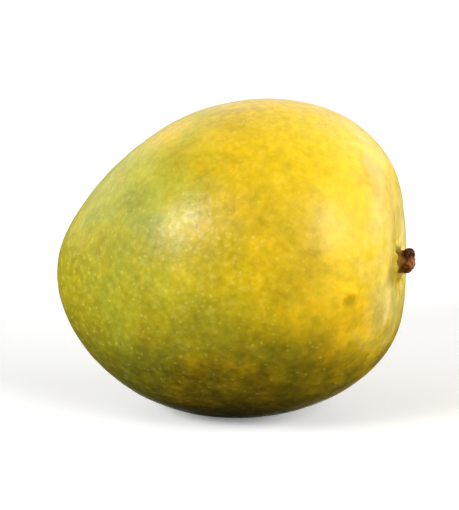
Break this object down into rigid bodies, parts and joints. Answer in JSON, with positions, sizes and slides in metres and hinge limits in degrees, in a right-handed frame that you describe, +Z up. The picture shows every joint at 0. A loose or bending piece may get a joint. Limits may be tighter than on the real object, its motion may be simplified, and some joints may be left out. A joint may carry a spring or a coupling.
{
  "type": "mango",
  "caption": "Whole ripe mango with golden to yellow-green skin, blunt at the stalk end and narrower at the apex, lying on its belly edge, with a short broken stub of stalk.",
  "frame": {"origin": "middle of the small flat spot under the fruit, on the surface that it rests on", "axes": "+X along the fruit towards its stalk end, level; +Y across, from cheek to cheek; +Z up, towards the fruit's back edge"},
  "size_m": [0.0935, 0.0746, 0.083],
  "materials": {
    "fruit_skin": "smooth waxy fruit skin, golden yellow shading to yellow-green, with fine pale dots",
    "stalk_bark": "dry rough bark, dark maroon-brown at the twig scars"
  },
  "bodies": {
    "root": {"mango_fruit": "fruit_skin", "stem_stub": "stalk_bark"}
  },
  "joints": []
}
